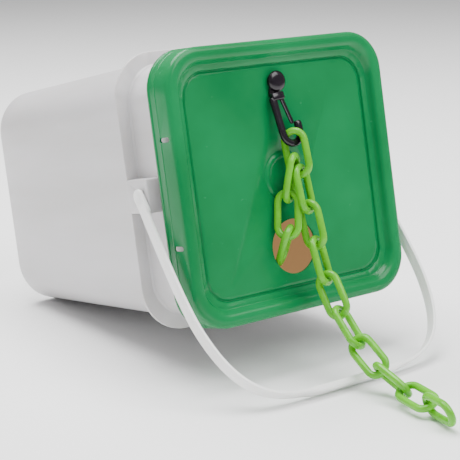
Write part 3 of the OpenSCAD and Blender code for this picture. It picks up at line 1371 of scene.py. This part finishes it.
    def gate(self) -> None:
        """Builds the sprung gate that closes the hook's mouth."""
        across = (self.gate_end[0] - self.pivot[0], self.gate_end[1] - self.pivot[1])
        outline = capsule(math.hypot(*across), self.gate_wide / 2 + 0.1)
        blade = plate("snap_hook_gate", outline, self.gate_thick, 0.5)
        made = subtract(blade, drill("gate_hole", self.pin + self.play, self.cut, 24))
        swing = Matrix.Rotation(math.atan2(across[1], across[0]), 4, "Z")
        settle(made, self.at_hook() @ moved(*self.pivot) @ swing)
        finishes = [self.palette.black]
        finish_piece(made, Body.GATE.value, finishes, ["hook_gate"], self.sharp_deg)


@dataclass
class Chain:
    """Moulded chain: one finished link for each CAD link that shows."""

    palette: Palette
    nodes: dict
    length: float = 51
    width: float = 27
    wire: float = 7.05
    arc_steps: int = 12
    around: int = 8
    side_share: float = 0.33
    fits: int = 4

    def cage(self, name: str) -> bpy.types.Object:
        """Sweeps one link as a coarse cage with a UV map along and round it.

        Args:
            name: Name of the link's object.

        Returns:
            The cage at its own origin, long way along y, flat side facing z.
        """
        bend = (self.width - self.wire) / 2
        run = (self.length - self.width) / 2
        # Subdivision pulls a ring in, so the cage's wire is thicker by this factor
        grow = 6 / (4 + 2 * math.cos(2 * math.pi / self.around))
        middle: list[tuple[Vector, Vector]] = []
        for end in (0, 1):
            turn = Matrix.Rotation(math.pi * end, 3, "Z")
            for i in range(self.arc_steps + 1):
                a = math.pi * i / self.arc_steps
                out = Vector((math.cos(a), math.sin(a), 0))
                middle.append((turn @ (out * bend + Vector((0, run, 0))), turn @ out))
            for share in (self.side_share, -self.side_share):
                side = Vector((-1, 0, 0))
                middle.append((turn @ (side * bend + Vector((0, run * share, 0))), turn @ side))
        reach = self.wire / 2 * grow
        rings = []
        for centre, out in middle:
            ring = []
            for k in range(self.around):
                b = 2 * math.pi * k / self.around
                lift = Vector((0, 0, math.sin(b) * reach))
                ring.append(centre + out * math.cos(b) * reach + lift)
            rings.append(ring)
        made = loft(name, rings, capped=False)
        self.map_link(made.data, len(rings))
        return made

    def map_link(self, mesh: bpy.types.Mesh, rings: int) -> None:
        """Writes the UV map: u along the link, v round its wire.

        Args:
            mesh: The cage's mesh.
            rings: Number of rings along it.
        """
        layer = mesh.uv_layers.new(name="along_and_round")
        for face in mesh.polygons:
            corners = list(face.loop_indices)
            numbers = [divmod(mesh.loops[c].vertex_index, self.around) for c in corners]
            wrap_u = {n[0] for n in numbers} == {0, rings - 1}
            wrap_v = {n[1] for n in numbers} == {0, self.around - 1}
            for corner, (u, v) in zip(corners, numbers):
                u = rings if wrap_u and u == 0 else u
                v = self.around if wrap_v and v == 0 else v
                layer.data[corner].uv = (u / rings, v / self.around)

    def place_of(self, node: bpy.types.Object) -> Matrix:
        """Finds a CAD link's placement from the spread of its points.

        Args:
            node: The CAD link.

        Returns:
            Its placement, with the translation in millimetres.
        """
        points = np.array([v.co for v in node.data.vertices])
        centre = (points.max(0) + points.min(0)) / 2
        for _ in range(self.fits):
            spread = points - centre
            _, axes = np.linalg.eigh(spread.T @ spread)
            flat, wide, long = axes[:, 0], axes[:, 1], axes[:, 2]
            turned_points = points @ np.c_[wide, long, flat]
            middle = (turned_points.max(0) + turned_points.min(0)) / 2
            centre = np.c_[wide, long, flat] @ middle
        flat = np.cross(wide, long)
        place = Matrix(np.c_[wide, long, flat].tolist()).to_4x4()
        place.translation = Vector((centre / MM).tolist())
        return place

    def build(self) -> None:
        """Builds a link for each CAD link on its own body."""
        for name in sorted(self.nodes):
            if not name.startswith(("link_", "inner_link_")):
                continue
            node = self.nodes[name]
            made = settle(self.cage(name + "_moulded"), self.place_of(node))
            add_modifier(made, "SUBSURF", levels=2)
            finish_piece(made, node["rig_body"], [self.palette.chain], [name])


@dataclass
class KeptParts:
    """CAD nodes whose shape is already right: they only get their finish."""

    palette: Palette
    nodes: dict

    def build(self) -> None:
        """Dresses the kept nodes."""
        dress = {"lid_gasket": self.palette.foam, "stored_chain": self.palette.chain}
        for name in ("stud_washer", "stud_nut", "gate_pin", "gate_spring"):
            dress[name] = self.palette.steel
        for name, material in dress.items():
            mesh = self.nodes[name].data
            mesh.materials.clear()
            mesh.materials.append(material)
            LOG.info("%s keeps its CAD shape", name)


@dataclass
class Studio:
    """Pale floor, soft lights and the camera."""

    palette: Palette
    floor_half: float = 6.0
    floor_gap: float = 0.0004
    surround: float = 0.36
    lens_mm: float = 108
    sensor_mm: float = 36
    lit: Step = (0, -0.3, 0)
    eye: Step = (-0.8380, -1.3771, 0.3583)
    right: Step = (0.7987, -0.6017, -0.0088)
    forward: Step = (0.5809, 0.7747, -0.2497)

    def build(self) -> None:
        """Builds the floor, the lights and the camera."""
        self.floor()
        self.world()
        self.area("key_light", (0.7, -1.9, 2.3), 2.0, 80)
        self.area("fill_light", (-2.2, -1.2, 1.2), 1.8, 2)
        self.area("top_light", (-0.2, 0.5, 2.6), 2.4, 210)
        self.camera()

    def floor(self) -> None:
        """Lays the floor under the lowest point of the CAD model."""
        z, h = CAD_BOX[0].z - self.floor_gap, self.floor_half
        corners = [Vector((x * h, y * h, z)) for x, y in ((-1, -1), (1, -1), (1, 1), (-1, 1))]
        made = mesh_object("floor", corners, [(0, 1, 2, 3)], 1.0)
        made.data.materials.append(self.palette.floor)

    def world(self) -> None:
        """Sets the soft white surround."""
        world = bpy.data.worlds.new("soft_surround")
        world.use_nodes = True
        shade = world.node_tree.nodes["Background"]
        shade.inputs["Color"].default_value = linear("#ffffff")
        shade.inputs["Strength"].default_value = self.surround
        bpy.context.scene.world = world

    def area(self, name: str, at: Step, size: float, power: float) -> None:
        """Adds a square soft light.

        Args:
            name: Its name.
            at: Its place in metres.
            size: Its side in metres.
            power: Its power in watts.
        """
        data = bpy.data.lights.new(name, "AREA")
        data.size = size
        data.energy = power
        made = new_object(name, data)
        made.location = at
        facing = Vector(self.lit) - Vector(at)
        made.rotation_euler = facing.to_track_quat("-Z", "Y").to_euler()

    def camera(self) -> None:
        """Sets the camera at a little above the lid, on its left."""
        data = bpy.data.cameras.new("studio_camera")
        data.lens = self.lens_mm
        data.sensor_width = self.sensor_mm
        made = new_object("studio_camera", data)
        right = Vector(self.right).normalized()
        forward = Vector(self.forward).normalized()
        up = right.cross(forward).normalized()
        right = forward.cross(up)
        turn = Matrix((right, up, -forward)).transposed().to_4x4()
        made.matrix_world = Matrix.Translation(self.eye) @ turn
        bpy.context.scene.camera = made


def main() -> None:
    """Builds the pail's sub-assemblies in order and reports each piece."""
    logging.basicConfig(level=logging.INFO, format="%(name)s: %(message)s")
    palette = Palette.mix()
    steps: list[Callable[[], None]] = [
        Studio(palette).build,
        Pail(palette).build,
        Lid(palette).build,
        BailHandle(palette).build,
        SnapHook(palette).build,
        Chain(palette, frame["nodes"]).build,
        KeptParts(palette, frame["nodes"]).build,
    ]
    for step in steps:
        step()


if __name__ == "__main__":
    main()
